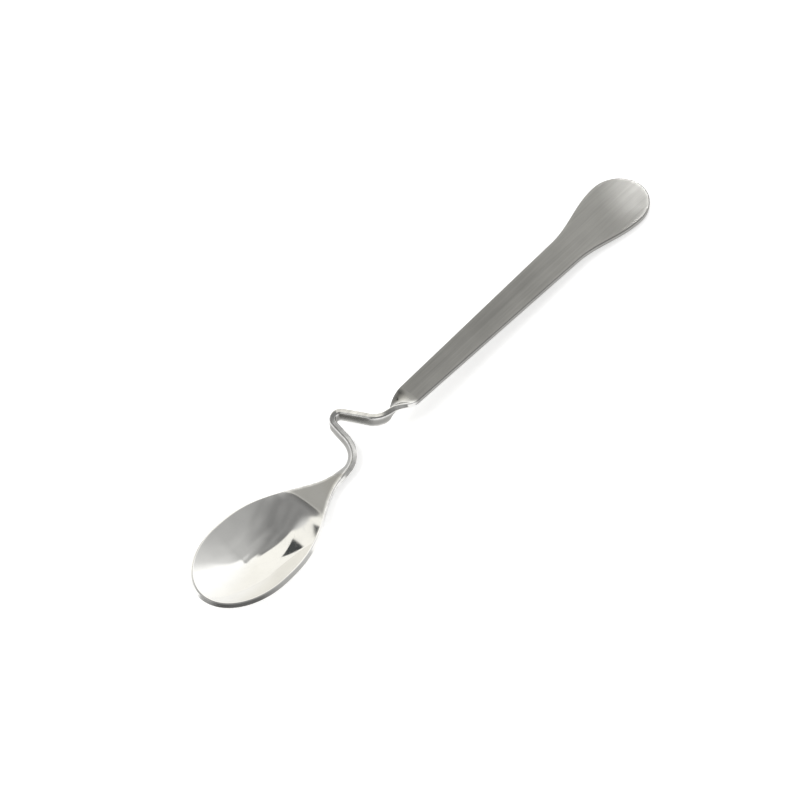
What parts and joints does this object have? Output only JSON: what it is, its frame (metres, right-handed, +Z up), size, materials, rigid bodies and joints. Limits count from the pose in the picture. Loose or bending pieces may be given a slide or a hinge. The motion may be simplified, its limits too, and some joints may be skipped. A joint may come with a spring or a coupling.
{
  "type": "coffee spoon",
  "caption": "Steel coffee spoon with an egg-shaped bowl, a flared flat handle and a neck twisted on edge into a side hook that hangs on a cup's rim.",
  "frame": {"origin": "on the table, under the middle of the spoon's bounding box, with the spoon lying as it rests, on the heel of the bowl and the end of the handle", "axes": "+X from the bowl to the end of the handle, +Y to the side the hook points to, +Z up from the table"},
  "size_m": [0.128, 0.0188, 0.0074],
  "materials": {
    "polished_steel": "mirror-polished stainless steel",
    "neck_steel": "half-bright stainless steel with light draw marks along the strip",
    "satin_steel": "satin stainless steel with fine lines along the handle"
  },
  "bodies": {
    "root": {"bowl": "polished_steel", "bowl_twist": "polished_steel", "cup_hook": "neck_steel", "handle_twist": "neck_steel", "handle": "satin_steel"}
  },
  "joints": []
}
